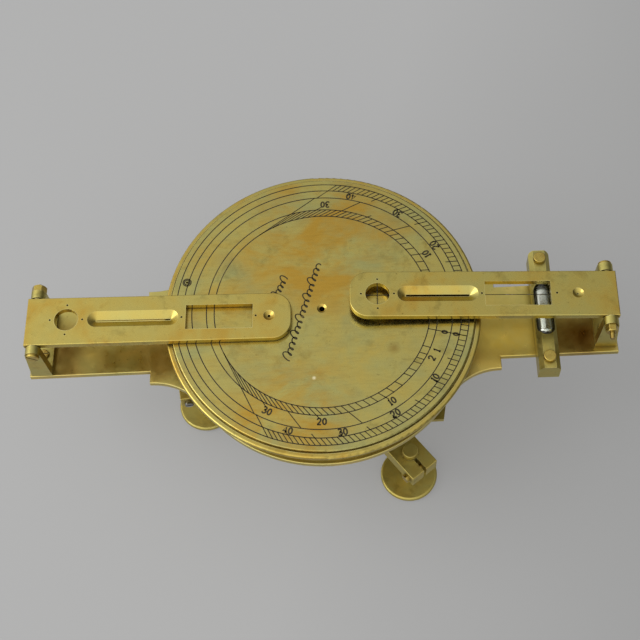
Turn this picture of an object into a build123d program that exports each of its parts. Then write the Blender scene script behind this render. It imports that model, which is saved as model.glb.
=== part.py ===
from build123d import *
import math
import os

# Miner's dial: a surveyor's compass on a three-screw levelling base, with two folding sights.
# Millimetres. Origin on the vertical axis at table level, +X along the sights, +Z up.

# ---- heights -------------------------------------------------------------------------------
LID_TOP = 104.0            # top of the engraved lid
LID_T = 1.7
RING_T = 2.9               # flange of the limb ring under the lid
ARM_TOP = 79.5             # upper face of the sight plate
ARM_T = 3.3
LUG_TOP = 36.4             # upper face of the levelling base's lugs
LUG_T = 10.0
PAD_T = 1.5                # swivel pad under each foot screw
FOOT_T = 3.5               # foot screw's turning disc

# ---- compass box ---------------------------------------------------------------------------
LID_R = 82.3
RING_R = 85.5
RING_BORE_R = 73.5
BOX_R = 78.7
BOX_UPPER_R = 75.0         # inside, above the glass ledge
BOX_LOWER_R = 71.5         # inside, below the glass ledge
BOX_FLOOR_T = 2.5
GLASS_T = 2.0
GLASS_Z = 92.5
BEZEL_T = 1.5
SCALE_CIRCLES = (58.2, 62.4, 70.3, 75.0, 79.1)   # engraved circles on the lid
GROOVE_W = 0.4
GROOVE_D = 0.15
PEG_R = 75.8               # peg hole's distance from the lid's centre
PEG_ANGLE = 165.0          # its direction from +X
NEEDLE_LENGTH = 116.0
NEEDLE_Z = 88.8            # underside of the needle
BOX_SCREW_RING = 64.0      # radius of the ring of screws under the box
INDEX_R = 1.5              # hole at the lid's centre
INDEX_SINK_R = 2.7         # its countersink

# ---- sight plate ---------------------------------------------------------------------------
ARM_END = {"left": -162.7, "right": 160.4}
ARM_HALF_W = 21.6
PLATE_R = 80.0
FLARE_X = 96.2             # the flared roots end in a step here
FLARE_Y = 28.5
FLARE_R = 34.0             # hollow curve of each flared root
FAR_LEFT_FLARE_X = 98.4    # one root is a little longer than the others

# ---- hinges and sights ---------------------------------------------------------------------
HINGE_X = {"left": -154.8, "right": 153.4}
HINGE_Z = 104.4            # hinge axis, level with the folded sights' underside
HINGE_Y = {"left": -1.6, "right": -0.3}
SKEW = {"left": -1.4, "right": -1.7}     # each hinge is set a little askew, in degrees
LIFT = {"left": 0.0, "right": 1.7}       # the right sight rests a little open, in degrees
SIGHT_L = 138.4            # hinge axis to tip
SIGHT_END = 4.7            # square end beyond the hinge axis
SIGHT_W = 27.0
SPREAD = {"left": 1.4, "right": 0.0}     # extra width at the hinge, on the bolt head's side
SIGHT_T = 3.5
TIP_R = 10.0
HOLE_R = 6.5               # round sighting hole
WINDOW_W = 14.4
LUG_GAP = 0.35             # side play between a sight and its lugs
HINGE_LUG_T = 4.5
HINGE_LUG_R = 4.1
BOLT_R = 1.6
BOLT_HEAD_R = 3.6
BOLT_HEAD_T = 1.6
THREAD_TIP_R = 1.4
NUT = {"left": (7.4, 3.6), "right": (6.1, 3.7)}   # across the flats, thickness
BOLT_TIP = {"left": 1.4, "right": 3.8}            # bolt's end beyond its nut
BRACKET_IN = 5.2           # bracket's foot, from the hinge axis towards the box
BRACKET_OUT = 6.2          # and towards the arm's end
BRACKET_FOOT_T = 2.5
BRACKET_SCREW_Y = 8.0
WIRE_PIN = 8.8             # cross-wire pins' distance from the round hole's centre
WIRE = 0.2                 # half the thickness of the cross wires
HAIR = 0.14                # and of the window's hair
SLIT_W = {"left": 0.8, "right": 1.2}
TROUGH_HALF_W = 4.7        # bevelled groove round each slit
TROUGH_DEPTH = 2.5
DIMPLE_R = 4.4             # hollow round each peep hole
DIMPLE_DEPTH = 1.2
PEEP_R = {"left": 0.8, "right": 0.4}
SIGHT_LAYOUT = {
    # distances from the hinge axis: round hole, trough, pins, window, peep
    "left": {"hole": 17.1, "slit": (28.6, 77.9), "pins": (79.5, 119.4), "window": (81.7, 117.7),
             "peep": 126.5},
    "right": {"hole": 123.5, "slit": (69.6, 112.9), "pins": (67.8, 27.8), "window": (31.0, 66.1),
              "peep": 16.5},
}
RUN = 0.05                 # radial clearance of running fits

# ---- level ---------------------------------------------------------------------------------
LEVEL_X = 121.1
LEVEL_Y = 0.9
LEVEL_SKEW = -0.8
LEVEL_HALF_L = 36.2
LEVEL_W = 11.4
LEVEL_H = 11.7
LEVEL_CHAMFER = 2.5
VIAL_R = 4.8
VIAL_Z = ARM_TOP + 6.2
VIAL_SHOWN = 16.0          # half the length seen through the bar's opening
VIAL_HALF_L = 17.0
LEVEL_SCREW_Y = (-29.7, 30.7)
LEVEL_FIXING_Y = 19.0
LEVEL_FIXING_R = 1.2

# ---- levelling base ------------------------------------------------------------------------
FOOT_RADIUS = 74.5
FOOT_ANGLES = {"a": -52.6, "b": 67.4, "c": 187.4}
FOOT_R = 16.4
SCREW_R = 4.4
SCREW_TOP = LUG_TOP + 5.0
LUG_W = 17.8
LUG_END = 13.0             # lug's end beyond the foot screw's axis
LUG_CLAMP = 8.5            # lug clamp screw beyond the foot screw's axis
SPLIT_W = 2.0
LUG_INNER = 17.0           # lug's other end, inside the foot screw's axis
LUG_SCREW_R = 1.6
LUG_HEAD_SIDE = {"a": -1, "b": -1, "c": 1}   # which side of its lug each clamp screw's head is on
HUB_R = 24.0
BOSS_R = 16.0
BOSS_BOTTOM = 18.4
THREAD_R = 7.94            # 5/8 inch staff-head thread
THREAD_L = 15.0
PILLAR_SCREW_RING = 16.0
PILLAR_SCREW_START = 7.4   # degrees
SCREW_SHANK_R = 1.5        # shank of the small assembly screws

# ---- vertical axis and its clamp -----------------------------------------------------------
PILLAR_R = 9.0
STUD_R = 5.0
SOCKET_R = 13.0
SOCKET_BOTTOM = 46.0
SHOULDER_Z = 70.2
CAVITY_R = 9.5
CLAMP_ANGLE = 145.0
CLAMP_TOP = 61.0
CLAMP_BOTTOM = 52.0
CLAMP_SCREW_R = 1.75
CLAMP_ARM_T = 3.0
EAR_RADIUS = 23.0
SOCKET_SCREW_RING = 21.0
SOCKET_SCREW_START = 45.0  # degrees
STUD_X = 55.0              # stud that ties the clamp arm to the sight plate
STUD_Y = -40.0

# ---- needle lifter -------------------------------------------------------------------------
LIFTER_Y = 46.0            # lifting screw, on the +Y side
FULCRUM_Y = 59.0
LIFTER_Z = 85.2

BASE = (Align.CENTER, Align.CENTER, Align.MIN)
ARM_BOTTOM = ARM_TOP - ARM_T
RING_TOP = LID_TOP - LID_T
RING_BOTTOM = RING_TOP - RING_T
LUG_BOTTOM = LUG_TOP - LUG_T
FLOOR_TOP = ARM_TOP + BOX_FLOOR_T
DIAL_TOP = FLOOR_TOP + 1.2
PILLAR_BASE = LUG_TOP + 4.0
LEVEL_TOP = ARM_TOP + LEVEL_H
LUG_MIDDLE = (LUG_TOP + LUG_BOTTOM) / 2
CLAMP_MIDDLE = (CLAMP_TOP + CLAMP_BOTTOM) / 2
BRACKET_OUTER = SIGHT_W / 2 + LUG_GAP + HINGE_LUG_T   # lugs' outer faces


def disc(radius, low, high, x=0.0, y=0.0):
    """Upright cylinder between two heights."""
    return Pos(x, y, low) * Cylinder(radius, high - low, align=BASE)


def ring(outer, inner, low, high):
    """Upright tube between two heights."""
    return disc(outer, low, high) - disc(inner, low - 1, high + 1)


def block(x0, x1, y0, y1, z0, z1):
    """Box between two corners."""
    centre = Pos((x0 + x1) / 2, (y0 + y1) / 2, (z0 + z1) / 2)
    return centre * Box(x1 - x0, y1 - y0, z1 - z0)


def rod_y(radius, y0, y1, x=0.0, z=0.0):
    """Cylinder along Y."""
    return Pos(x, (y0 + y1) / 2, z) * Rot(90, 0, 0) * Cylinder(radius, abs(y1 - y0))


def hex_y(across, y0, y1):
    """Hexagonal nut blank along Y."""
    outline = RegularPolygon(across / math.sqrt(3), 6)
    return Pos(0, y0, 0) * Rot(-90, 0, 0) * extrude(outline, y1 - y0)


def prism(points, low, high):
    """Upright solid on a plan outline."""
    outline = Polygon(*points, align=None)
    return Pos(0, 0, low) * extrude(outline, high - low, dir=(0, 0, 1))


def around(count, start, radius):
    """Points evenly spaced on a circle."""
    angles = [math.radians(start + 360 / count * i) for i in range(count)]
    return [(radius * math.cos(a), radius * math.sin(a)) for a in angles]


def rim_edges(part, z):
    """Circular edges of a part at one height."""
    return [e for e in part.edges().filter_by(GeomType.CIRCLE) if abs(e.center().Z - z) < 1e-4]


def outer_rim(part, z, radius):
    """The circular edge of one radius at one height."""
    return [e for e in rim_edges(part, z) if abs(e.radius - radius) < 1e-3]


def save(name, *solids):
    """Write one node; several solids make a group."""
    shape = solids[0] if len(solids) == 1 else Compound(children=list(solids))
    export_step(shape, f"parts/{name}.step")


# ---- levelling base ------------------------------------------------------------------------
def foot_frame(name):
    """Frame at a foot screw's axis, +X pointing outwards."""
    return Rot(0, 0, FOOT_ANGLES[name]) * Pos(FOOT_RADIUS, 0, 0)


def lug_arm(name):
    """One arm of the levelling base, with its split lug."""
    lug_start = FOOT_RADIUS - LUG_INNER
    taper = [(8, 13), (8, -13), (lug_start + 1, -6.5), (lug_start + 1, 6.5)]
    arm = prism(taper, LUG_BOTTOM + 1, LUG_TOP - 1)
    lug = block(lug_start, FOOT_RADIUS + LUG_END, -LUG_W / 2, LUG_W / 2, LUG_BOTTOM, LUG_TOP)
    arm += fillet(lug.edges(), 0.5)
    arm -= disc(HUB_R, LUG_BOTTOM - 1, LUG_TOP + 1)
    arm -= disc(SCREW_R + RUN, LUG_BOTTOM - 1, LUG_TOP + 1, FOOT_RADIUS)
    arm -= block(FOOT_RADIUS, FOOT_RADIUS + LUG_END + 1, -SPLIT_W / 2, SPLIT_W / 2,
                 LUG_BOTTOM - 1, LUG_TOP + 1)
    arm -= rod_y(LUG_SCREW_R + RUN, -LUG_W, LUG_W, FOOT_RADIUS + LUG_CLAMP, LUG_MIDDLE)
    return Rot(0, 0, FOOT_ANGLES[name]) * arm


def tribrach_hub():
    """Middle of the levelling base, threaded underneath for a staff head."""
    body = disc(HUB_R, LUG_BOTTOM, LUG_TOP) + disc(BOSS_R, BOSS_BOTTOM, LUG_BOTTOM + 1)
    body -= disc(THREAD_R, BOSS_BOTTOM - 1, BOSS_BOTTOM + THREAD_L)
    for x, y in around(3, PILLAR_SCREW_START, PILLAR_SCREW_RING):
        body -= disc(SCREW_SHANK_R, LUG_TOP - 2.4, LUG_TOP + 1, x, y)
    return body


def lug_clamp_screw(name):
    """Slotted screw that closes one split lug."""
    side = LUG_HEAD_SIDE[name]
    face = side * LUG_W / 2
    screw = rod_y(LUG_SCREW_R, face + side * 0.5, side * 0.6 - face, LUG_CLAMP, LUG_MIDDLE)
    screw += rod_y(2.5, face, face + side * 2.2, LUG_CLAMP, LUG_MIDDLE)
    slot = Pos(LUG_CLAMP, face + side * 2.2, LUG_MIDDLE) * Box(6, 1.4, 0.7)
    return foot_frame(name) * (screw - slot)


def foot_screw(name):
    """Plain-topped screw with its broad turning disc."""
    turning_disc = disc(FOOT_R, PAD_T, PAD_T + FOOT_T)
    turning_disc = fillet(turning_disc.edges().filter_by(GeomType.CIRCLE), 1.3)
    shank = disc(SCREW_R, PAD_T + FOOT_T - 1, SCREW_TOP)
    shank = fillet(rim_edges(shank, SCREW_TOP), 0.4)
    hollow = disc(2.0 + RUN, PAD_T - 1, PAD_T + 2.5)
    return foot_frame(name) * (turning_disc + shank - hollow)


def foot_pad(name):
    """Pad that stays still on the table while its screw turns."""
    pad = disc(7.0, 0, PAD_T) + disc(2.0, PAD_T - 0.5, PAD_T + 2.4)
    return foot_frame(name) * pad


# ---- vertical axis and its clamp -----------------------------------------------------------
def axis_pillar():
    pillar = disc(20.0, LUG_TOP, PILLAR_BASE) + disc(PILLAR_R, LUG_TOP, SHOULDER_Z)
    pillar += disc(STUD_R, SHOULDER_Z - 1, 78.2)
    for x, y in around(3, PILLAR_SCREW_START, PILLAR_SCREW_RING):
        pillar -= disc(1.55, LUG_TOP - 1, PILLAR_BASE + 1, x, y)
        pillar -= disc(2.7, PILLAR_BASE - 1.8, PILLAR_BASE + 1, x, y)
    return pillar


def pillar_screws():
    screws = []
    for x, y in around(3, PILLAR_SCREW_START, PILLAR_SCREW_RING):
        screw = disc(2.6, PILLAR_BASE - 1.8, PILLAR_BASE + 0.2, x, y)
        screw += disc(1.5, LUG_TOP - 2.4, PILLAR_BASE - 1, x, y)
        screw -= block(x - 4, x + 4, y - 0.35, y + 0.35, PILLAR_BASE - 0.5, PILLAR_BASE + 1)
        screws.append(screw)
    return screws


def axis_socket():
    """Sleeve that carries the compass and turns on the pillar."""
    body = disc(SOCKET_R, SOCKET_BOTTOM, ARM_BOTTOM - 3) + disc(26.0, ARM_BOTTOM - 3.5, ARM_BOTTOM)
    body -= disc(PILLAR_R + RUN, SOCKET_BOTTOM - 1, SHOULDER_Z + RUN)
    body -= disc(STUD_R + RUN, SHOULDER_Z - 1, ARM_BOTTOM + 1)
    body -= disc(CAVITY_R, ARM_BOTTOM - 3, ARM_BOTTOM + 1)
    body -= Rot(0, 0, CLAMP_ANGLE) * block(0, 20, -0.75, 0.75, SOCKET_BOTTOM - 1, CLAMP_TOP)
    for x, y in around(4, SOCKET_SCREW_START, SOCKET_SCREW_RING):
        body -= disc(1.55, ARM_BOTTOM - 5, ARM_BOTTOM + 1, x, y)
    return body


def socket_screws():
    screws = []
    for x, y in around(4, SOCKET_SCREW_START, SOCKET_SCREW_RING):
        screw = disc(2.8, ARM_BOTTOM - 5.3, ARM_BOTTOM - 3.5, x, y)
        screw += disc(1.5, ARM_BOTTOM - 4, ARM_TOP - 0.8, x, y)
        screw -= block(x - 4, x + 4, y - 0.35, y + 0.35, ARM_BOTTOM - 6, ARM_BOTTOM - 4.7)
        screws.append(screw)
    return screws


def retaining_washer():
    return ring(8.6, STUD_R, ARM_BOTTOM - 2.95, ARM_BOTTOM - 1.95)


def retaining_nut():
    nut = ring(7.6, STUD_R, ARM_BOTTOM - 1.95, ARM_BOTTOM + 1.6)
    return nut - block(-9, 9, -0.8, 0.8, ARM_BOTTOM + 0.4, ARM_BOTTOM + 2)


def clamp_collar():
    """Split collar that pinches the socket, with the arm that steadies it."""
    body = disc(SOCKET_R + 5, CLAMP_BOTTOM, CLAMP_TOP)
    ears = block(SOCKET_R + 2, EAR_RADIUS + 5, -7, 7, CLAMP_BOTTOM, CLAMP_TOP)
    ears = fillet(ears.edges().filter_by(Axis.Y), 1.5)
    body += Rot(0, 0, CLAMP_ANGLE) * ears
    arm = [(8, -13), (13, -6), (62, -31), (67, -34), (64, -49.5), (46, -49.5)]
    body += prism(arm, CLAMP_TOP - CLAMP_ARM_T, CLAMP_TOP)
    body -= disc(SOCKET_R, CLAMP_BOTTOM - 1, CLAMP_TOP + 1)
    body -= Rot(0, 0, CLAMP_ANGLE) * block(0, 40, -1, 1, CLAMP_BOTTOM - 1, CLAMP_TOP + 1)
    hole = rod_y(CLAMP_SCREW_R + RUN, -20, 20, EAR_RADIUS, CLAMP_MIDDLE)
    body -= Rot(0, 0, CLAMP_ANGLE) * hole
    return body - disc(1.55, CLAMP_TOP - 5, CLAMP_TOP + 1, STUD_X, STUD_Y)


def arm_pillar():
    """Stud that ties the clamp arm to the sight plate."""
    stud = disc(3.5, CLAMP_TOP, ARM_BOTTOM, STUD_X, STUD_Y)
    under = CLAMP_TOP - CLAMP_ARM_T
    tail = disc(SCREW_SHANK_R, under - 2.4, CLAMP_TOP + 1, STUD_X, STUD_Y)
    nut = disc(3.2, under - 2.0, under, STUD_X, STUD_Y)
    return stud + tail + nut


def clamp_screw():
    """Milled thumb screw that closes the collar."""
    middle = CLAMP_MIDDLE
    shank = rod_y(CLAMP_SCREW_R, -9.5, 8, EAR_RADIUS, middle)
    head = rod_y(6.2, 7.3, 12.3, EAR_RADIUS, middle) + rod_y(3.0, 7.1, 8, EAR_RADIUS, middle)
    head = head - rod_y(4.2, 11.7, 13, EAR_RADIUS, middle)
    for i in range(20):
        angle = math.radians(18 * i)
        x = EAR_RADIUS + 6.4 * math.cos(angle)
        head -= rod_y(0.45, 6.5, 13, x, middle + 6.4 * math.sin(angle))
    return Rot(0, 0, CLAMP_ANGLE) * (shank + head)


# ---- sight plate and compass box -----------------------------------------------------------
def flare_outline(end_x=FLARE_X):
    """One flared root of an arm, for x and y above zero."""
    reach = FLARE_R + PLATE_R
    centre_y = FLARE_Y + FLARE_R
    centre_x = math.sqrt(reach ** 2 - centre_y ** 2)
    touch = (centre_x * PLATE_R / reach, centre_y * PLATE_R / reach)
    turn = math.atan2(centre_y, centre_x) + math.pi
    middle = (math.radians(270) + turn) / 2
    on_arc = (centre_x + FLARE_R * math.cos(middle), centre_y + FLARE_R * math.sin(middle))
    lines = [
        Line((40, 0), (end_x, 0)),
        Line((end_x, 0), (end_x, FLARE_Y)),
        Line((end_x, FLARE_Y), (centre_x, FLARE_Y)),
        ThreePointArc((centre_x, FLARE_Y), on_arc, touch),
        Line(touch, (40, 0)),
    ]
    return make_face(Wire(lines))


def sight_plate():
    length = ARM_END["right"] - ARM_END["left"]
    middle = (ARM_END["right"] + ARM_END["left"]) / 2
    outline = Circle(PLATE_R) + Pos(middle, 0) * Rectangle(length, 2 * ARM_HALF_W)
    flare = flare_outline()
    outline += flare
    outline += mirror(flare, Plane.XZ)
    outline += mirror(flare_outline(FAR_LEFT_FLARE_X), Plane.YZ)
    outline += mirror(mirror(flare, Plane.YZ), Plane.XZ)
    body = Pos(0, 0, ARM_BOTTOM) * extrude(outline, ARM_T)
    top = [e for e in body.edges() if abs(e.center().Z - ARM_TOP) < 1e-4]
    body = chamfer(top, 0.35)
    body -= disc(CAVITY_R, ARM_BOTTOM - 1, ARM_TOP + 1)
    for x, y in around(6, 0, BOX_SCREW_RING):
        body -= disc(1.5, ARM_BOTTOM - 1, ARM_TOP + 1, x, y)
    for x, y in around(4, SOCKET_SCREW_START, SOCKET_SCREW_RING):
        body -= disc(1.5, ARM_BOTTOM - 1, ARM_TOP - 0.8, x, y)
    body -= disc(1.5 + RUN, ARM_BOTTOM - 1, ARM_TOP + 1, 0, LIFTER_Y)
    for side in HINGE_Y:
        for y in (-BRACKET_SCREW_Y, BRACKET_SCREW_Y):
            body -= hinge_frame(side) * disc(SCREW_SHANK_R, -50, 0, 0, y)
    for y in (-LEVEL_FIXING_Y, LEVEL_FIXING_Y):
        body -= level_place() * disc(LEVEL_FIXING_R, ARM_BOTTOM - 1, ARM_TOP + 1, 0, y)
    return body


def compass_box():
    body = disc(BOX_R, ARM_TOP, RING_BOTTOM) - disc(BOX_LOWER_R, FLOOR_TOP, RING_TOP)
    body -= disc(BOX_UPPER_R, GLASS_Z, RING_TOP)
    for x, y in around(6, 0, BOX_SCREW_RING):
        body -= disc(1.5, ARM_TOP - 1, FLOOR_TOP + 1, x, y)
    return body - disc(1.5 + RUN, ARM_TOP - 1, FLOOR_TOP + 1, 0, LIFTER_Y)


def box_screws():
    screws = []
    for x, y in around(6, 0, BOX_SCREW_RING):
        screw = disc(3.0, ARM_BOTTOM - 1.8, ARM_BOTTOM, x, y)
        screw += disc(1.5, ARM_BOTTOM - 0.5, FLOOR_TOP, x, y)
        screw -= block(x - 4, x + 4, y - 0.4, y + 0.4, ARM_BOTTOM - 3, ARM_BOTTOM - 1.1)
        screws.append(screw)
    return screws


def limb_ring():
    """Flange that closes the drum and carries the lid."""
    body = ring(RING_R, RING_BORE_R, RING_BOTTOM, RING_TOP)
    body = fillet(outer_rim(body, RING_TOP, RING_R) + outer_rim(body, RING_BOTTOM, RING_R), 1.1)
    body -= ring(LID_R + 0.7, LID_R - 0.6, RING_TOP - 0.5, RING_TOP)
    return body + ring(BOX_UPPER_R - 0.05, RING_BORE_R, GLASS_Z + GLASS_T + BEZEL_T, RING_BOTTOM)


def glass_disc():
    return disc(BOX_UPPER_R - 0.2, GLASS_Z, GLASS_Z + GLASS_T)


def glass_bezel():
    return ring(BOX_UPPER_R - 0.1, BOX_LOWER_R, GLASS_Z + GLASS_T, GLASS_Z + GLASS_T + BEZEL_T)


def lid():
    """Engraved cover; its skirt drops inside the limb ring."""
    body = disc(LID_R, RING_TOP, LID_TOP)
    body = fillet(outer_rim(body, LID_TOP, LID_R), 0.7)
    body += ring(RING_BORE_R - 0.4, RING_BORE_R - 2.0, RING_TOP - 2.3, RING_TOP + 0.5)
    for radius in SCALE_CIRCLES:
        body -= ring(radius + GROOVE_W / 2, radius - GROOVE_W / 2, LID_TOP - GROOVE_D, LID_TOP + 1)
    body -= disc(INDEX_R, RING_TOP - 1, LID_TOP + 1)
    body -= Pos(0, 0, LID_TOP - 0.7) * Cone(INDEX_R, INDEX_SINK_R, 0.7, align=BASE)
    peg = math.radians(PEG_ANGLE)
    return body - disc(0.8, LID_TOP - 1.2, LID_TOP + 1, PEG_R * math.cos(peg), PEG_R * math.sin(peg))


# ---- compass movement ----------------------------------------------------------------------
def dial_plate():
    body = disc(BOX_LOWER_R - 0.2, FLOOR_TOP, DIAL_TOP)
    return body - disc(1.5 + RUN, FLOOR_TOP - 1, DIAL_TOP + 1, 0, LIFTER_Y)


def degree_ring():
    return ring(BOX_LOWER_R - 0.2, 62.0, DIAL_TOP, 88.0)


def pivot_post():
    shoulder = NEEDLE_Z - 0.4
    post = disc(2.6, DIAL_TOP, DIAL_TOP + 1.3) + disc(1.2, DIAL_TOP, shoulder)
    return post + Pos(0, 0, shoulder) * Cone(1.2, 0.25, 1.6, align=BASE)


def compass_needle():
    half = NEEDLE_LENGTH / 2
    outline = [(-half, 0), (-half + 9, 2.2), (0, 3.6), (half - 9, 2.2), (half, 0),
               (half - 9, -2.2), (0, -3.6), (-half + 9, -2.2)]
    body = prism(outline, NEEDLE_Z, NEEDLE_Z + 0.8)
    return Rot(0, 0, 62) * (body - disc(2.4, NEEDLE_Z - 1, NEEDLE_Z + 2))


def needle_cap():
    top = NEEDLE_Z + 2.4
    cap = disc(2.4, NEEDLE_Z - 0.4, top) + disc(3.4, NEEDLE_Z + 0.8, NEEDLE_Z + 1.4)
    cap = fillet(outer_rim(cap, top, 2.4), 0.8)
    return cap - disc(1.6, NEEDLE_Z - 1, NEEDLE_Z + 1.25)


def needle_lifter():
    """Lever whose ring lifts the needle off its pivot."""
    lever = block(-1.6, 1.6, 4, FULCRUM_Y + 1.4, LIFTER_Z, LIFTER_Z + 0.9)
    lever += disc(5.2, LIFTER_Z, LIFTER_Z + 0.9)
    lever -= disc(3.2, LIFTER_Z - 1, LIFTER_Z + 2)
    lever += Pos(0, FULCRUM_Y, LIFTER_Z + 0.45) * Rot(0, 90, 0) * Cylinder(1.1, 3.2)
    return lever - Pos(0, FULCRUM_Y, LIFTER_Z + 0.45) * Rot(0, 90, 0) * Cylinder(0.55, 8)


def lifter_bracket():
    """Two ears and the pin on which the lifter rocks."""
    body = block(-4, 4, FULCRUM_Y - 1.8, FULCRUM_Y + 1.8, DIAL_TOP, DIAL_TOP + 0.6)
    for x in (-3.2, 3.2):
        body += block(x - 0.8, x + 0.8, FULCRUM_Y - 1.8, FULCRUM_Y + 1.8, DIAL_TOP, LIFTER_Z + 2)
    return body + Pos(0, FULCRUM_Y, LIFTER_Z + 0.45) * Rot(0, 90, 0) * Cylinder(0.5, 6.6)


def lifter_screw():
    """Milled screw under the box that raises the lifter."""
    shank = disc(1.5, ARM_BOTTOM - 3, LIFTER_Z - 0.1, 0, LIFTER_Y)
    head = disc(6.0, ARM_BOTTOM - 5.4, ARM_BOTTOM - 0.4, 0, LIFTER_Y)
    for x, y in around(20, 0, 6.2):
        head -= disc(0.45, ARM_BOTTOM - 6, ARM_BOTTOM, x, y + LIFTER_Y)
    return shank + head


# ---- hinges and sights ---------------------------------------------------------------------
def hinge_frame(side):
    """Frame on a hinge axis: +X points along the folded sight to its tip, Y along the bolt."""
    away = {"left": 0, "right": 180}[side]
    return Pos(HINGE_X[side], HINGE_Y[side], HINGE_Z) * Rot(0, 0, away + SKEW[side])


def hinge_bracket(side):
    """Foot plate with two tapered lugs."""
    foot = ARM_TOP - HINGE_Z
    start = -BRACKET_OUTER - SPREAD[side]
    body = block(-BRACKET_OUT, BRACKET_IN, start, BRACKET_OUTER, foot, foot + BRACKET_FOOT_T)
    profile = Polygon((-BRACKET_OUT, foot), (BRACKET_IN, foot), (HINGE_LUG_R, 0), (-HINGE_LUG_R, 0),
                      align=None)
    profile += Circle(HINGE_LUG_R)
    for y in (start, BRACKET_OUTER - HINGE_LUG_T):
        body += Pos(0, y + HINGE_LUG_T, 0) * Rot(90, 0, 0) * extrude(profile, HINGE_LUG_T)
    body -= rod_y(BOLT_R, -30, 30)
    for y in (-BRACKET_SCREW_Y, BRACKET_SCREW_Y):
        body -= disc(SCREW_SHANK_R, foot - 1, foot + 4, 0, y)
    return hinge_frame(side) * body


def bracket_screws():
    screws = []
    under_head = ARM_TOP - HINGE_Z + BRACKET_FOOT_T
    top = under_head + 1.6
    for side in HINGE_Y:
        for y in (-BRACKET_SCREW_Y, BRACKET_SCREW_Y):
            screw = disc(2.7, under_head, top, 0, y)
            screw = fillet(outer_rim(screw, top, 2.7), 0.5)
            screw += disc(SCREW_SHANK_R, ARM_BOTTOM + 0.3 - HINGE_Z, under_head + 0.5, 0, y)
            screw -= block(-4, 4, y - 0.35, y + 0.35, top - 0.7, top + 1)
            screws.append(hinge_frame(side) * screw)
    return screws


def hinge_bolt(side):
    """Slotted bolt along the hinge axis."""
    under_head = -BRACKET_OUTER - SPREAD[side]
    end = under_head - BOLT_HEAD_T
    thickness = NUT[side][1]
    head = rod_y(BOLT_HEAD_R, end, under_head)
    head = fillet([e for e in head.edges() if abs(e.center().Y - end) < 1e-4], 0.5)
    head -= Pos(0, end, 0) * Rot(0, 35, 0) * Box(9, 1.2, 0.8)
    bolt = head + rod_y(BOLT_R, under_head - 0.5, BRACKET_OUTER + thickness)
    bolt += rod_y(THREAD_TIP_R, BRACKET_OUTER, BRACKET_OUTER + thickness + BOLT_TIP[side])
    return hinge_frame(side) * bolt


def hinge_nut(side):
    """Six-sided nut with a chamfered outer face."""
    across, thickness = NUT[side]
    end = BRACKET_OUTER + thickness
    dome = rod_y(across * 0.565, BRACKET_OUTER - 1, end)
    dome = chamfer([e for e in dome.edges() if abs(e.center().Y - end) < 1e-4], 0.6)
    nut = hex_y(across, BRACKET_OUTER, end) & dome
    return hinge_frame(side) * (nut - rod_y(BOLT_R, BRACKET_OUTER - 1, end + 1))


def sight_frame(side):
    """Hinge frame tipped by the sight's rest lift."""
    return hinge_frame(side) * Rot(0, -LIFT[side], 0)


def trough(start, end):
    """Cutter for the bevelled groove round a slit."""
    mouth = SlotOverall(end - start, 2 * TROUGH_HALF_W)
    slope = math.degrees(math.atan((TROUGH_HALF_W - 0.7) / TROUGH_DEPTH))
    groove = extrude(mouth, -TROUGH_DEPTH, taper=slope)
    return Pos((start + end) / 2, 0, SIGHT_T) * groove


def sight_vane(side):
    layout = SIGHT_LAYOUT[side]
    half = SIGHT_W / 2
    wide = half + SPREAD[side]
    outline = [(-SIGHT_END, half), (-SIGHT_END, -wide), (SIGHT_L, -half), (SIGHT_L, half)]
    plate = prism(outline, 0, SIGHT_T)
    corners = [e for e in plate.edges().filter_by(Axis.Z) if e.center().X > SIGHT_L - 1]
    plate = fillet(corners, TIP_R)
    rim = [e for e in plate.edges() if abs(e.center().Z - SIGHT_T) < 1e-4]
    body = fillet(rim, 0.5) + rod_y(SIGHT_T, -half - SPREAD[side] * 0.95, half)
    body -= rod_y(BOLT_R + RUN, -wide - 1, half + 1)
    hole_x = layout["hole"]
    body -= disc(HOLE_R, -1, SIGHT_T + 1, hole_x, 0)
    for x, y in around(4, 0, WIRE_PIN):
        body -= disc(0.55, SIGHT_T - 1.6, SIGHT_T + 1, hole_x + x, y)
    for x in layout["pins"]:
        body -= disc(0.6, SIGHT_T - 1.6, SIGHT_T + 1, x, 0)
    start, end = layout["window"]
    body -= block(start, end, -WINDOW_W / 2, WINDOW_W / 2, -1, SIGHT_T + 1)
    start, end = layout["slit"]
    body -= trough(start, end)
    width = SLIT_W[side]
    body -= block(start + TROUGH_HALF_W, end - TROUGH_HALF_W, -width / 2, width / 2, -1, SIGHT_T + 1)
    peep = layout["peep"]
    body -= Pos(peep, 0, SIGHT_T + DIMPLE_R - DIMPLE_DEPTH) * Sphere(DIMPLE_R)
    body -= disc(PEEP_R[side], -1, SIGHT_T + 1, peep)
    return sight_frame(side) * body


def right_cross_wires():
    """Two wires across the round hole."""
    x = SIGHT_LAYOUT["right"]["hole"]
    reach = HOLE_R - 0.02
    level = SIGHT_T / 2
    along = block(x - reach, x + reach, -WIRE, WIRE, level - WIRE, level + WIRE)
    across = block(x - WIRE, x + WIRE, -reach, reach, level - WIRE, level + WIRE)
    return sight_frame("right") * (along + across)


def right_window_hair():
    start, end = SIGHT_LAYOUT["right"]["window"]
    level = SIGHT_T / 2
    hair = block(start, end, -HAIR, HAIR, level - HAIR, level + HAIR)
    return sight_frame("right") * hair


# ---- level ---------------------------------------------------------------------------------
def level_place():
    """Frame of the level, set a little askew on the arm."""
    return Pos(LEVEL_X, LEVEL_Y, 0) * Rot(0, 0, LEVEL_SKEW)


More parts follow.
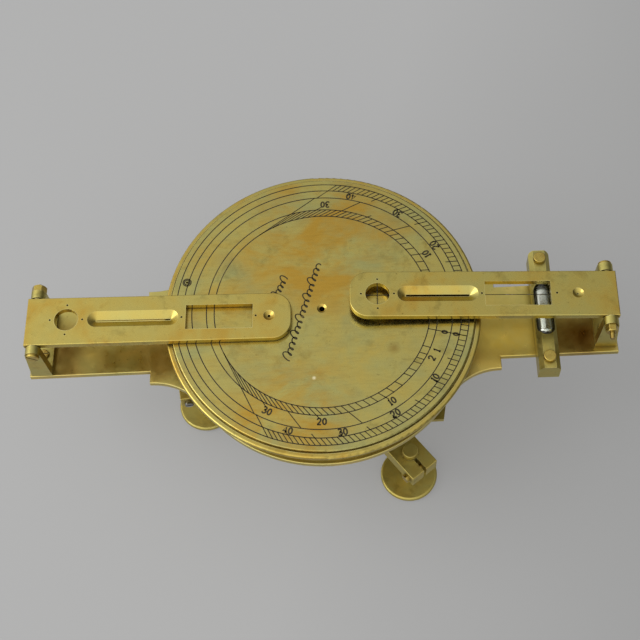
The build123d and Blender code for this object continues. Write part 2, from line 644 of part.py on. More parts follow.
def level_frame():
    """Bar across the arm, with a round-ended opening over the vial."""
    half = LEVEL_W / 2
    body = block(-half, half, -LEVEL_HALF_L, LEVEL_HALF_L, ARM_TOP, LEVEL_TOP)
    ridge = [e for e in body.edges().filter_by(Axis.Y) if e.center().Z > VIAL_Z]
    body = chamfer(ridge, LEVEL_CHAMFER)
    far = [e for e in body.edges().filter_by(Axis.Z) if e.center().Y > LEVEL_HALF_L - 0.1]
    body = fillet(far, 2.0)
    for y in LEVEL_SCREW_Y:
        body -= disc(SCREW_SHANK_R, LEVEL_TOP - 5, LEVEL_TOP + 1, 0, y)
    for y in (-LEVEL_FIXING_Y, LEVEL_FIXING_Y):
        body -= disc(LEVEL_FIXING_R, ARM_TOP - 1, ARM_TOP + 5, 0, y)
    bore = VIAL_R + 0.1
    body -= rod_y(bore, -VIAL_HALF_L - 0.1, VIAL_HALF_L + 0.1, 0, VIAL_Z)
    slot = SlotOverall(2 * VIAL_SHOWN, 2 * bore - 0.02, rotation=90)
    body -= Pos(0, 0, VIAL_Z) * extrude(slot, LEVEL_H)
    return level_place() * body


def level_vial():
    """Sealed glass tube."""
    tube = rod_y(VIAL_R, -VIAL_HALF_L, VIAL_HALF_L, 0, VIAL_Z)
    return level_place() * fillet(tube.edges().filter_by(GeomType.CIRCLE), 1.5)


def level_screws():
    """Cheese-headed screws in the ends of the bar."""
    screws = []
    for y in LEVEL_SCREW_Y:
        head = disc(3.4, LEVEL_TOP, LEVEL_TOP + 2.4, 0, y)
        head = fillet(outer_rim(head, LEVEL_TOP + 2.4, 3.4), 0.5)
        screw = head + disc(SCREW_SHANK_R, LEVEL_TOP - 4.8, LEVEL_TOP + 1, 0, y)
        screws.append(level_place() * screw)
    return screws


def level_fixings():
    """Screws up through the arm into the bar."""
    screws = []
    for y in (-LEVEL_FIXING_Y, LEVEL_FIXING_Y):
        screw = disc(2.1, ARM_BOTTOM - 1.5, ARM_BOTTOM, 0, y)
        screw += disc(LEVEL_FIXING_R, ARM_BOTTOM - 0.5, ARM_TOP + 4.8, 0, y)
        screw -= block(-4, 4, y - 0.35, y + 0.35, ARM_BOTTOM - 2, ARM_BOTTOM - 0.9)
        screws.append(level_place() * screw)
    return screws


os.makedirs("parts", exist_ok=True)

save("tribrach_hub", tribrach_hub())
for name in FOOT_ANGLES:
    save(f"lug_arm_{name}", lug_arm(name))
    save(f"lug_clamp_screw_{name}", lug_clamp_screw(name))
    save(f"foot_screw_{name}", foot_screw(name))
    save(f"foot_pad_{name}", foot_pad(name))
save("axis_pillar", axis_pillar())
save("pillar_screws", *pillar_screws())
save("axis_socket", axis_socket())
save("socket_screws", *socket_screws())
save("retaining_washer", retaining_washer())
save("retaining_nut", retaining_nut())
save("clamp_collar", clamp_collar())
save("arm_pillar", arm_pillar())
save("clamp_screw", clamp_screw())
save("sight_plate", sight_plate())
save("compass_box", compass_box())
save("box_screws", *box_screws())
save("limb_ring", limb_ring())
save("glass_disc", glass_disc())
save("glass_bezel", glass_bezel())
save("lid", lid())
save("dial_plate", dial_plate())
save("degree_ring", degree_ring())
save("pivot_post", pivot_post())
save("compass_needle", compass_needle())
save("needle_cap", needle_cap())
save("needle_lifter", needle_lifter())
save("lifter_bracket", lifter_bracket())
save("lifter_screw", lifter_screw())
for side in HINGE_Y:
    save(f"{side}_hinge_bracket", hinge_bracket(side))
    save(f"{side}_hinge_bolt", hinge_bolt(side))
    save(f"{side}_hinge_nut", hinge_nut(side))
    save(f"{side}_sight_vane", sight_vane(side))
save("bracket_screws", *bracket_screws())
save("right_cross_wires", right_cross_wires())
save("right_window_hair", right_window_hair())
save("level_frame", level_frame())
save("level_vial", level_vial())
save("level_screws", *level_screws())
save("level_fixings", *level_fixings())
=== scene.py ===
import math

import bmesh
import bpy
from mathutils import Matrix, Vector


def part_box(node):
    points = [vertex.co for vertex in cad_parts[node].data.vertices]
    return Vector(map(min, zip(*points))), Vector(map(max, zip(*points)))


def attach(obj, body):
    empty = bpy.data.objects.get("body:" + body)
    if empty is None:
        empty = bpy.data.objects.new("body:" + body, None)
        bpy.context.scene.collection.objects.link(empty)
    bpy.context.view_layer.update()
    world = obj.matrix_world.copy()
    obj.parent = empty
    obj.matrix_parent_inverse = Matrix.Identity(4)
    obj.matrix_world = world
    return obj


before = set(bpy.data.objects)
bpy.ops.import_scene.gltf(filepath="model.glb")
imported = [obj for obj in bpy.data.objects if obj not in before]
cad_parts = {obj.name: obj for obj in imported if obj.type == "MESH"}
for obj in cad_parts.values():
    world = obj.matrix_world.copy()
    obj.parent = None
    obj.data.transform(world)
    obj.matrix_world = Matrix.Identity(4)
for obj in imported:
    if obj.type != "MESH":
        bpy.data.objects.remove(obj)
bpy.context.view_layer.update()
scene = bpy.context.scene


def linear(red, green, blue):
    """Scene-linear colour from 0 to 255 display values."""
    values = []
    for value in (red, green, blue):
        value /= 255
        values.append(value / 12.92 if value <= 0.04045 else ((value + 0.055) / 1.055) ** 2.4)
    return tuple(values)


# ---- sizes and places, in metres -----------------------------------------------------------
MM = 0.001
LID_LOW, LID_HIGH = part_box("lid")
LID_CENTRE = (LID_LOW + LID_HIGH) / 2
LID_TOP = LID_HIGH.z
ARM_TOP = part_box("sight_plate")[1].z

# Engraved circles of the lid's scales, from the centre outwards
INNER_LOW = 58.2 * MM
INNER_HIGH = 62.4 * MM
MIDDLE = 70.3 * MM
OUTER_LOW = 75.0 * MM
OUTER_HIGH = 79.1 * MM
CIRCLES = (INNER_LOW, INNER_HIGH, MIDDLE, OUTER_LOW, OUTER_HIGH)
CIRCLE_STEPS = 288
PEG_R = 75.8 * MM                      # from the lid's centre to the peg hole
PEG_MARKS = (1.45 * MM, 2.2 * MM)      # radii of the two rings round the peg hole
ZERO_ANGLE = math.radians(-15.0)       # direction of the scales' zero in the row frame

# Cuts and their dark filling
CUT_FLOOR = -0.05 * MM                 # where the filling starts, from the lid's face
CUT_TOP = 0.012 * MM                   # how far the filling stands proud
CIRCLE_W = 0.60 * MM
TICK_W = 0.52 * MM
DIGIT_W = 0.88 * MM
LOOP_W = 0.70 * MM
PEG_MARK_W = 0.65 * MM
DIGIT_H = 3.6 * MM
ZERO_H = 3.0 * MM

# Outer scale: each division, in degrees, is n steps less a part that grows with the cube of n
OUTER_COUNT = 45
OUTER_STEP = 2.26
OUTER_CLOSING = 4.9e-5
OUTER_LONG = 2.2 * MM                  # how far every fifth division reaches inwards
OUTER_NUMBERS = (("10", 22), ("20", 45), ("30", 68), ("40", 90.5))
OUTER_NUMBER_R = 72.6 * MM

# Inner scale: equal steps of cosine at the peg
COSINE_STEP = 0.0121
INNER_STEPS = (0.25, 0.5, 0.75, 1.0, 1.5, 2.0, *range(3, 31))
INNER_LONG = 1.8 * MM                  # how far every fifth division reaches outwards
INNER_PAIRS = (("10", 43), ("30", 102))
INNER_PAIR_R = 65.9 * MM
INNER_SINGLES = (("20", 65.9 * MM, -76.5), ("1", 66.0 * MM, -10), ("2", 65.6 * MM, -14.5))
ZERO_RADII = (67.1 * MM, 73.2 * MM)

LONG_EVERY = 5                         # every fifth division is long
NUMBER_EVERY = 10

# Letterless ornament: (start, end, number of loops)
LOOP_RUNS = (((-0.0178, -0.0304), (0.0002, 0.0266), 18), ((-0.0242, 0.0062), (-0.0182, 0.0187), 5))
LOOP_TALL = 3.0 * MM
LOOP_HEIGHTS = (1.6, 0.9, 1.0, 0.8, 1.5, 0.9, 0.8)
LOOP_STEPS = 14
LOOP_CURL = 0.34
LOOP_SLANT = 0.35

# Spirit and bubble inside the level's glass tube
VIAL_SKEW = math.radians(-0.8)
SPIRIT_R = 4.2 * MM
SPIRIT_HALF = 15.8 * MM
BUBBLE_R = 2.5 * MM
BUBBLE_HALF = 5.5 * MM
BUBBLE_PLACE = Vector((0.0, 5.0, 2.1)) * MM
CAPSULE_SEGMENTS = 28
CAPSULE_RINGS = 7
CAPSULE_TIP = 0.02                     # smallest ring, as a share of the radius

# ---- colours -------------------------------------------------------------------------------
MOSS = linear(168, 166, 108)
OLIVE = linear(186, 174, 100)
GOLD = linear(193, 171, 88)
AMBER = linear(190, 149, 58)
PALE = linear(236, 224, 156)
BRIGHT = linear(222, 196, 112)
BROWN = linear(160, 130, 66)
TARNISH_AND_SHADE = linear(84, 68, 26)
STAIN = linear(142, 106, 40)
DENT_GLINT = linear(255, 244, 200)
PLATE_GOLD = linear(210, 180, 78)
PLATE_BROWN_AND_SHADE = linear(146, 108, 48)
STEEL = linear(150, 148, 142)
STEEL_LIGHT = linear(214, 212, 206)
WIRE = linear(70, 66, 56)
RUST = linear(96, 66, 40)
SILVER = (linear(206, 203, 194), linear(188, 182, 164), linear(170, 150, 92))
WAX = (linear(34, 29, 14), linear(52, 45, 22), linear(104, 92, 48))
WAX_CRUMB = linear(80, 70, 36)
DIAL_GLASS = linear(235, 240, 232)
VIAL_GLASS = linear(226, 236, 222)
CLEAR_GLASS = linear(250, 250, 246)
SPIRIT = (linear(214, 215, 206), linear(242, 242, 236))
FLOOR_LIT = linear(130, 130, 130)
FLOOR_SHADED = linear(90, 90, 89)

# ---- wear, and painted shade in corners ----------------------------------------------------
# How much of a layer shows: (noise value where it starts, where it is full, its share there)
BLOTCHES = (0.42, 0.72, 0.38)
SPECKS = (0.61, 0.72, 0.70)
SMUDGES = (0.54, 0.74, 0.42)
SCRATCHES = (0.70, 0.76, 1.0)
LID_HAZE = (0.52, 0.70, 0.50)
LID_RUBBED = (0.45, 0.75, 0.16)
RUST_SPOTS = (0.62, 0.72, 0.60)
WAX_CRUMBS = (0.50, 0.70, 0.50)

TARNISH_AND_SHADE_SHARE = 0.85                      # of tarnish and painted shade in tight corners
CORNER_ROUGHER = 0.25
EDGE_SMOOTHER = 0.08
EVEN_GRAIN = (700.0, 700.0, 700.0)     # stretch of the noise for each finish
ALONG_X = (60.0, 1500.0, 1500.0)       # a brushed grain that runs along the sights
SCRATCH_GRAIN = (90.0, 2600.0, 90.0)
SCRATCH_TURN = 0.7

# Amber areas of the lid: ((x, y), reach, strength)
AMBER_AREAS = (((0.000, 0.042), 0.060, 1.0), ((-0.056, 0.004), 0.060, 0.35), ((-0.020, -0.060), 0.040, 1.0))
AMBER_SHARE = 0.9
STAIN_SPOT = ((0.0374, -0.0256), 0.0042)
STAIN_SHARE = 0.6
# Painted glint of a small dent: ((x, y), reach)
DENT_GLINT_SPOT = ((-0.0053, -0.0410), 0.0013)

# The sight plate's golden area, and its brown ones, of which the first, by the right hinge, is painted shade
# of the right sight vane: ((x, y), reach, strength)
GOLDEN_AREA = ((0.100, -0.012), 0.032)
BROWN_AND_SHADE_AREAS = (((0.142, -0.010), 0.026, 1.0), ((-0.146, -0.006), 0.024, 0.7), ((-0.092, -0.010), 0.018, 0.6))

# ---- stage ---------------------------------------------------------------------------------
FLOOR_HALF = 9.0
FLOOR_FALL = (0.04, 0.40)              # where the floor's shade starts and ends, towards +X
FLOOR_FRONT = 0.25                     # how much the shade grows towards the front
FLOOR_GLOW = 0.20
KEY_PLACE = (-0.85, -0.05, 0.95)
KEY_SIZE = 0.9
KEY_POWER = 4.6
KEY_TARGET = Vector((0.0, 0.0, 0.05))
SKY_LEAN = (-0.60, -0.42, 0.38)        # the side of the sky that is brightest
SKY_LEVEL = 0.60
SKY_LEAST = 0.12
SKY_COLOUR = (1.0, 1.0, 0.99, 1.0)
CAMERA_PLACE = (0.01525, -0.3195, 0.7088)
CAMERA_RIGHT = Vector((0.9987, -0.0287, -0.0420))
CAMERA_UP = Vector((0.0447, 0.8881, 0.4576))
CAMERA_SENSOR = 36.0
CAMERA_LENS = 71.46
CAMERA_NEAR = 0.01


# ---- node helpers --------------------------------------------------------------------------
class Graph:
    """Short names for building one material's nodes."""

    def __init__(self, name):
        self.material = bpy.data.materials.new(name)
        self.material.use_nodes = True
        self.tree = self.material.node_tree
        self.shader = self.tree.nodes["Principled BSDF"]
        self.place = self.tree.nodes.new("ShaderNodeTexCoord").outputs["Object"]

    def new(self, kind, **settings):
        node = self.tree.nodes.new(kind)
        for key, value in settings.items():
            setattr(node, key, value)
        return node

    def link(self, source, target):
        self.tree.links.new(source, target)

    def drive(self, source, name):
        """Link an output to one of the shader's own inputs."""
        self.link(source, self.shader.inputs[name])

    def fix(self, name, value):
        """One value all over, set on the shader's own input."""
        self.shader.inputs[name].default_value = value

    def put(self, socket, value):
        """A linked output or a plain value."""
        if isinstance(value, bpy.types.NodeSocket):
            self.link(value, socket)
        else:
            socket.default_value = value

    def noise(self, scale, detail=4.0, roughness=0.55, distortion=0.0, vector=None, shift=0.0):
        node = self.new("ShaderNodeTexNoise", noise_dimensions="4D")
        node.inputs["Scale"].default_value = scale
        node.inputs["Detail"].default_value = detail
        node.inputs["Roughness"].default_value = roughness
        node.inputs["Distortion"].default_value = distortion
        node.inputs["W"].default_value = shift
        self.link(vector or self.place, node.inputs["Vector"])
        return node.outputs["Fac"]

    def stretched(self, scale, turn=0.0):
        node = self.new("ShaderNodeMapping")
        node.inputs["Scale"].default_value = scale
        node.inputs["Rotation"].default_value = (0.0, 0.0, turn)
        self.link(self.place, node.inputs["Vector"])
        return node.outputs["Vector"]

    def ramp(self, value, stops):
        node = self.new("ShaderNodeValToRGB")
        ramp = node.color_ramp
        while len(ramp.elements) < len(stops):
            ramp.elements.new(1.0)
        for element, (position, colour) in zip(ramp.elements, stops):
            element.position = position
            element.color = (*colour, 1.0)
        self.link(value, node.inputs["Fac"])
        return node.outputs["Color"]

    def span(self, value, low, high, out_low=0.0, out_high=1.0):
        """Stretch a range of values to another one, clamped at both ends."""
        node = self.new("ShaderNodeMapRange", clamp=True)
        for key, number in (("From Min", low), ("From Max", high), ("To Min", out_low), ("To Max", out_high)):
            node.inputs[key].default_value = number
        self.link(value, node.inputs["Value"])
        return node.outputs["Result"]

    def layer(self, value, limits):
        """How much of a layer shows: limits are its start, its end and its share there."""
        start, end, share = limits
        return self.span(value, start, end, 0.0, share)

    def math(self, operation, a, b):
        node = self.new("ShaderNodeMath", operation=operation)
        self.put(node.inputs[0], a)
        self.put(node.inputs[1], b)
        return node.outputs["Value"]

    def times(self, a, b):
        return self.math("MULTIPLY", a, b)

    def mix(self, factor, a, b):
        """Colour a where the factor is 0, colour b where it is 1."""
        node = self.new("ShaderNodeMix", data_type="RGBA", blend_type="MIX")
        self.put(node.inputs["Factor"], factor)
        self.put(node.inputs[6], a if isinstance(a, bpy.types.NodeSocket) else (*a, 1.0))
        self.put(node.inputs[7], b if isinstance(b, bpy.types.NodeSocket) else (*b, 1.0))
        return node.outputs[2]

    def near(self, spot, height, radius):
        """1 at a spot on a face at that height, fading to 0 at a radius."""
        node = self.new("ShaderNodeVectorMath", operation="DISTANCE")
        self.link(self.place, node.inputs[0])
        node.inputs[1].default_value = (*spot, height)
        return self.span(node.outputs["Value"], radius, 0.0)

    def corners(self, distance):
        """1 in tight corners, 0 in the open."""
        node = self.new("ShaderNodeAmbientOcclusion", samples=8)
        node.inputs["Distance"].default_value = distance
        return self.span(node.outputs["AO"], 0.95, 0.35)

    def edges(self, radius):
        """1 on sharp edges, 0 on flats."""
        bevel = self.new("ShaderNodeBevel", samples=6)
        bevel.inputs["Radius"].default_value = radius
        face = self.new("ShaderNodeNewGeometry")
        dot = self.new("ShaderNodeVectorMath", operation="DOT_PRODUCT")
        self.link(bevel.outputs["Normal"], dot.inputs[0])
        self.link(face.outputs["Normal"], dot.inputs[1])
        return self.span(dot.outputs["Value"], 0.995, 0.86)

    def bump(self, height, strength, distance, below=None):
        node = self.new("ShaderNodeBump")
        node.inputs["Strength"].default_value = strength
        node.inputs["Distance"].default_value = distance
        self.link(height, node.inputs["Height"])
        if below is not None:
            self.link(below, node.inputs["Normal"])
        return node.outputs["Normal"]


# ---- finishes ------------------------------------------------------------------------------
def brass(name, shades=(OLIVE, GOLD, AMBER), patch=24.0, rough=(0.26, 0.42), brushed=EVEN_GRAIN,
          shift=0.0, corner=3.0, wear_and_highlight_width=0.5):
    """Old lacquered brass: mottled colour, tarnish and painted shade in the corners, worn edges with a
    painted highlight, and fine scratches.

    patch is the scale of the mottling, shift picks another part of the noise, and the last two are the reach
    of the tarnish with its painted corner shade and the width of the worn, highlighted edges, in millimetres.
    """
    g = Graph(name)
    broad = g.noise(patch, 3.0, 0.6, 0.4, shift=shift)
    blotch = g.noise(patch * 5.5, 6.0, 0.62, 0.3, shift=shift + 3.1)
    speck = g.noise(620.0, 5.0, 0.7, shift=shift + 7.7)
    smudge = g.noise(patch * 2.6, 5.0, 0.66, 0.6, shift=shift + 12.0)
    # Painted shade: ambient occlusion darkens tight corners towards the tarnish colour, on top of real
    # tarnish there
    corner_tarnish_and_shade = g.times(g.corners(corner * MM), g.span(blotch, 0.25, 0.6, 0.55, 1.0))
    # Worn edges with a painted highlight: sharp edges are brightened, partly as wear and partly as a painted
    # highlight line
    wear_and_highlight = g.times(g.edges(wear_and_highlight_width * MM), g.span(blotch, 0.3, 0.6, 0.45, 1.0))

    colour = g.ramp(broad, [(0.34, shades[0]), (0.52, shades[1]), (0.70, shades[2])])
    colour = g.mix(g.layer(blotch, BLOTCHES), colour, shades[0])
    colour = g.mix(g.layer(speck, SPECKS), colour, TARNISH_AND_SHADE)
    colour = g.mix(g.layer(smudge, SMUDGES), colour, TARNISH_AND_SHADE)
    # Tarnish together with painted shade in the corners
    colour = g.mix(g.times(corner_tarnish_and_shade, TARNISH_AND_SHADE_SHARE), colour, TARNISH_AND_SHADE)
    # Worn edges and painted edge highlight, mixed towards pale brass
    colour = g.mix(wear_and_highlight, colour, PALE)
    g.drive(colour, "Base Color")
    g.fix("Metallic", 1.0)

    haze = g.noise(patch * 9.0, 5.0, 0.6, shift=shift + 1.3)
    roughness = g.span(haze, 0.3, 0.7, *rough)
    roughness = g.math("SUBTRACT", roughness, g.times(wear_and_highlight, EDGE_SMOOTHER))
    roughness = g.math("ADD", roughness, g.times(corner_tarnish_and_shade, CORNER_ROUGHER))
    g.drive(roughness, "Roughness")

    grain = g.noise(1.0, 3.0, 0.6, vector=g.stretched(brushed), shift=shift)
    scratch = g.noise(1.0, 2.0, 0.5, vector=g.stretched(SCRATCH_GRAIN, SCRATCH_TURN), shift=shift + 5.0)
    dents = g.noise(240.0, 2.0, 0.4, shift=shift + 9.0)
    normal = g.bump(grain, 0.06, 0.06 * MM)
    normal = g.bump(g.layer(scratch, SCRATCHES), 0.16, 0.03 * MM, normal)
    normal = g.bump(dents, 0.07, 0.10 * MM, normal)
    g.drive(normal, "Normal")
    return g


def base_colour(g):
    """What is linked to the shader's colour so far."""
    return g.shader.inputs["Base Color"].links[0].from_socket


def lid_brass():
    """The lid: grey-green and olive clouds, orange-brown stains, a painted glint on a small dent and a brown
    spot.
    """
    g = brass("lid_brass", (MOSS, OLIVE, GOLD), patch=34.0, rough=(0.17, 0.30), shift=2.2, corner=1.5)
    cloud = g.noise(1.0, 6.0, 0.62, 0.5, g.stretched((26.0, 44.0, 30.0), 0.12), 4.0)
    haze = g.noise(1.0, 5.0, 0.6, 0.3, g.stretched((30.0, 60.0, 40.0), -0.2), 6.5)
    rubbed = g.noise(1.0, 4.0, 0.7, 0.0, g.stretched((110.0, 700.0, 200.0), 0.04), 9.0)

    where = 0.0
    for spot, reach, strength in AMBER_AREAS:
        where = g.math("MAXIMUM", where, g.times(g.near(spot, LID_TOP, reach), strength))
    amber = g.times(g.span(cloud, 0.42, 0.58), g.span(where, 0.0, 0.5, 0.08, 1.0))

    colour = g.mix(g.times(amber, AMBER_SHARE), base_colour(g), AMBER)
    colour = g.mix(g.layer(haze, LID_HAZE), colour, MOSS)
    colour = g.mix(g.layer(rubbed, LID_RUBBED), colour, TARNISH_AND_SHADE)
    spot, reach = STAIN_SPOT
    colour = g.mix(g.times(g.near(spot, LID_TOP, reach), STAIN_SHARE), colour, STAIN)
    # Painted glint: a near-white spot where a small dent catches the light
    spot, reach = DENT_GLINT_SPOT
    colour = g.mix(g.near(spot, LID_TOP, reach), colour, DENT_GLINT)
    g.drive(colour, "Base Color")
    return g.material


def plate_brass():
    """The sight plate: golden beside the box, brown towards the hinges, with painted shade by the right
    hinge.
    """
    g = brass("plate_brass", (BRIGHT, OLIVE, GOLD), patch=26.0, brushed=ALONG_X, shift=17.0, corner=4.0)
    cloud = g.noise(60.0, 4.0, 0.6, shift=19.0)
    spot, reach = GOLDEN_AREA
    golden = g.times(g.near(spot, ARM_TOP, reach), g.span(cloud, 0.30, 0.60, 0.4, 1.1))
    colour = g.mix(golden, base_colour(g), PLATE_GOLD)
    # Brown areas; the one by the right hinge is painted shade of the right sight vane
    for spot, reach, strength in BROWN_AND_SHADE_AREAS:
        patchy = g.span(cloud, 0.30, 0.60, 0.4 * strength, 1.1 * strength)
        colour = g.mix(g.times(g.near(spot, ARM_TOP, reach), patchy), colour, PLATE_BROWN_AND_SHADE)
    g.drive(colour, "Base Color")
    return g.material


def steel(name, tone, rough):
    """Steel that is mottled from dark to light, with small rust spots."""
    g = Graph(name)
    cloud = g.noise(260.0, 5.0, 0.6)
    spots = g.noise(1500.0, 4.0, 0.6, shift=2.0)
    dark = tuple(0.45 * value for value in tone)
    colour = g.ramp(cloud, [(0.30, dark), (0.55, tone), (0.80, STEEL_LIGHT)])
    colour = g.mix(g.layer(spots, RUST_SPOTS), colour, RUST)
    g.drive(colour, "Base Color")
    g.fix("Metallic", 1.0)
    g.drive(g.span(cloud, 0.3, 0.7, *rough), "Roughness")
    g.drive(g.bump(spots, 0.15, 0.03 * MM), "Normal")
    return g.material


def silvered():
    """Matt silvered brass with yellow showing through."""
    g = Graph("silvered_brass")
    cloud = g.noise(120.0, 6.0, 0.6)
    g.drive(g.ramp(cloud, list(zip((0.35, 0.62, 0.8), SILVER))), "Base Color")
    g.fix("Metallic", 1.0)
    g.drive(g.span(cloud, 0.3, 0.7, 0.38, 0.52), "Roughness")
    g.drive(g.bump(g.noise(1800.0), 0.12, 0.02 * MM), "Normal")
    return g.material


def glass(name, tint):
    """Clear glass, faintly smeared."""
    g = Graph(name)
    smear = g.noise(140.0, 4.0, 0.6)
    g.drive(g.mix(g.span(smear, 0.4, 0.7), tint, CLEAR_GLASS), "Base Color")
    g.drive(g.span(smear, 0.35, 0.75, 0.02, 0.12), "Roughness")
    g.fix("Transmission Weight", 1.0)
    g.fix("IOR", 1.48)
    g.drive(g.bump(g.noise(60.0, 2.0), 0.04, 0.10 * MM), "Normal")
    return g.material


def wax():
    """Dark filling of the engraved lines, rubbed thin in places."""
    g = Graph("engraving_wax")
    worn = g.noise(70.0, 5.0, 0.6, shift=6.0)
    crumb = g.noise(1400.0, 3.0, 0.6, shift=8.0)
    colour = g.ramp(worn, list(zip((0.38, 0.58, 0.76), WAX)))
    colour = g.mix(g.layer(crumb, WAX_CRUMBS), colour, WAX_CRUMB)
    g.drive(colour, "Base Color")
    g.drive(g.span(crumb, 0.3, 0.7, 0.45, 0.7), "Roughness")
    g.fix("Specular IOR Level", 0.3)
    g.drive(g.bump(crumb, 0.3, 0.02 * MM), "Normal")
    return g.material


def spirit():
    """The level's spirit in its tube: silvery where it mirrors the sky."""
    g = Graph("vial_spirit")
    cloud = g.noise(160.0, 3.0, 0.5)
    g.drive(g.ramp(cloud, list(zip((0.35, 0.65), SPIRIT))), "Base Color")
    g.fix("Metallic", 0.8)
    g.drive(g.span(cloud, 0.3, 0.7, 0.14, 0.24), "Roughness")
    g.drive(g.bump(cloud, 0.05, 0.05 * MM), "Normal")
    return g.material


def paint(material, *names):
    """Give CAD nodes their finish."""
    for name in names:
        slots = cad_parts[name].data.materials
        slots.clear()
        slots.append(material)


def paint_brass():
    """Every brass node, by the group that it belongs to."""
    vane = brass("vane_brass", patch=34.0, rough=(0.20, 0.32), brushed=ALONG_X, shift=11.0, corner=2.0)
    box = brass("box_brass", patch=30.0, rough=(0.24, 0.38), shift=23.0, corner=4.0)
    fitting = brass("fitting_brass", (OLIVE, OLIVE, GOLD), patch=70.0, shift=31.0, corner=2.5, wear_and_highlight_width=0.35)
    base = brass("base_brass", (GOLD, OLIVE, GOLD), patch=40.0, rough=(0.40, 0.56), shift=37.0, corner=2.0)
    nut = brass("nut_brass", (BROWN, GOLD, AMBER), patch=110.0, rough=(0.22, 0.36), shift=43.0, corner=1.5,
                wear_and_highlight_width=0.3)
    paint(lid_brass(), "lid")
    paint(plate_brass(), "sight_plate")
    paint(vane.material, "left_sight_vane", "right_sight_vane")
    paint(box.material, "compass_box", "limb_ring", "glass_bezel")
    paint(fitting.material, "left_hinge_bracket", "right_hinge_bracket", "level_frame", "clamp_collar",
          "arm_pillar", "axis_socket", "axis_pillar", "needle_cap", "lifter_bracket", "needle_lifter")
    paint(base.material, "tribrach_hub")
    for foot in "abc":
        paint(base.material, f"lug_arm_{foot}", f"foot_screw_{foot}", f"foot_pad_{foot}")
    paint(nut.material, "left_hinge_bolt", "right_hinge_bolt", "left_hinge_nut", "right_hinge_nut",
          "bracket_screws", "level_screws", "level_fixings", "clamp_screw", "lifter_screw", "pillar_screws",
          "socket_screws", "box_screws", "retaining_nut", "retaining_washer", "lug_clamp_screw_a",
          "lug_clamp_screw_b")


def paint_others():
    """Steel, silvered and glass nodes."""
    paint(steel("steel", STEEL, (0.18, 0.34)), "lug_clamp_screw_c", "compass_needle", "pivot_post")
    paint(steel("wire_steel", WIRE, (0.3, 0.5)), "right_cross_wires", "right_window_hair")
    paint(silvered(), "dial_plate", "degree_ring")
    paint(glass("dial_glass", DIAL_GLASS), "glass_disc")
    paint(glass("vial_glass", VIAL_GLASS), "level_vial")


# ---- meshes --------------------------------------------------------------------------------
def piece(name, bm, material, body):
    """Finish a mesh as a named piece that rides on a body."""
    bmesh.ops.recalc_face_normals(bm, faces=bm.faces)
    mesh = bpy.data.meshes.new(name)
    bm.to_mesh(mesh)
    bm.free()
    mesh.materials.append(material)
    obj = bpy.data.objects.new(name, mesh)
    scene.collection.objects.link(obj)
    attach(obj, body)


def on_lid(radius, angle):
    """Point on the lid's face: angle counter-clockwise from the scales' zero."""
    turn = ZERO_ANGLE + angle
    return Vector((LID_CENTRE.x + radius * math.cos(turn), LID_CENTRE.y + radius * math.sin(turn)))


def cut_line(bm, points, width, closed=False):
    """One filled cut: a low flat-topped bar along a line of points."""
    count = len(points)
    rows = []
    for i, point in enumerate(points):
        before = points[i - 1] if closed or i > 0 else point
        after = points[(i + 1) % count] if closed or i < count - 1 else point
        along = (after - before).normalized()
        side = Vector((-along.y, along.x)) * width / 2
        rows.append([bm.verts.new((*(point + side * s), LID_TOP + z))
                     for s, z in ((1, CUT_FLOOR), (1, CUT_TOP), (-1, CUT_TOP), (-1, CUT_FLOOR))])
    for i in range(count if closed else count - 1):
        here = rows[i]
        there = rows[(i + 1) % count]
        for k in range(3):
            bm.faces.new((here[k], here[k + 1], there[k + 1], there[k]))
    if not closed:
        bm.faces.new(rows[0][::-1])
        bm.faces.new(rows[-1])


def smooth(points, steps=5):
    """Catmull-Rom curve through points."""
    out = []
    last = len(points) - 1
    for i in range(last):
        p0, p1, p2, p3 = points[max(i - 1, 0)], points[i], points[i + 1], points[min(i + 2, last)]
        for k in range(steps):
            t = k / steps
            out.append(0.5 * (2 * p1 + (p2 - p0) * t + (2 * p0 - 5 * p1 + 4 * p2 - p3) * t * t
                              + (3 * p1 - p0 - 3 * p2 + p3) * t ** 3))
    out.append(points[last])
    return out


def oval(x, y, half_w, half_h, count=18):
    """Ring of points whose last repeats its first."""
    turns = [2 * math.pi * i / count for i in range(count + 1)]
    return [Vector((x + half_w * math.cos(turn), y + half_h * math.sin(turn))) for turn in turns]


def stroke(*points):
    return [Vector(p) for p in points]


# Digits as pen strokes in a box 1 high: (strokes, advance)
DIGITS = {
    "0": ([oval(0.33, 0.5, 0.25, 0.46)], 0.78),
    "1": ([stroke((0.10, 0.74), (0.24, 1.0), (0.24, 0.0)), stroke((0.06, 0.0), (0.42, 0.0))], 0.52),
    "2": ([smooth(stroke((0.06, 0.74), (0.14, 0.94), (0.32, 1.0), (0.50, 0.90), (0.54, 0.70), (0.40, 0.42),
                         (0.04, 0.03))), stroke((0.04, 0.03), (0.60, 0.03))], 0.76),
    "3": ([smooth(stroke((0.06, 0.86), (0.22, 1.0), (0.44, 0.95), (0.50, 0.78), (0.40, 0.60), (0.22, 0.54))),
           smooth(stroke((0.22, 0.54), (0.46, 0.48), (0.58, 0.27), (0.44, 0.05), (0.20, 0.0), (0.03, 0.14)))],
          0.74),
    "4": ([stroke((0.46, 0.0), (0.46, 1.0), (0.03, 0.30), (0.64, 0.30))], 0.78),
}


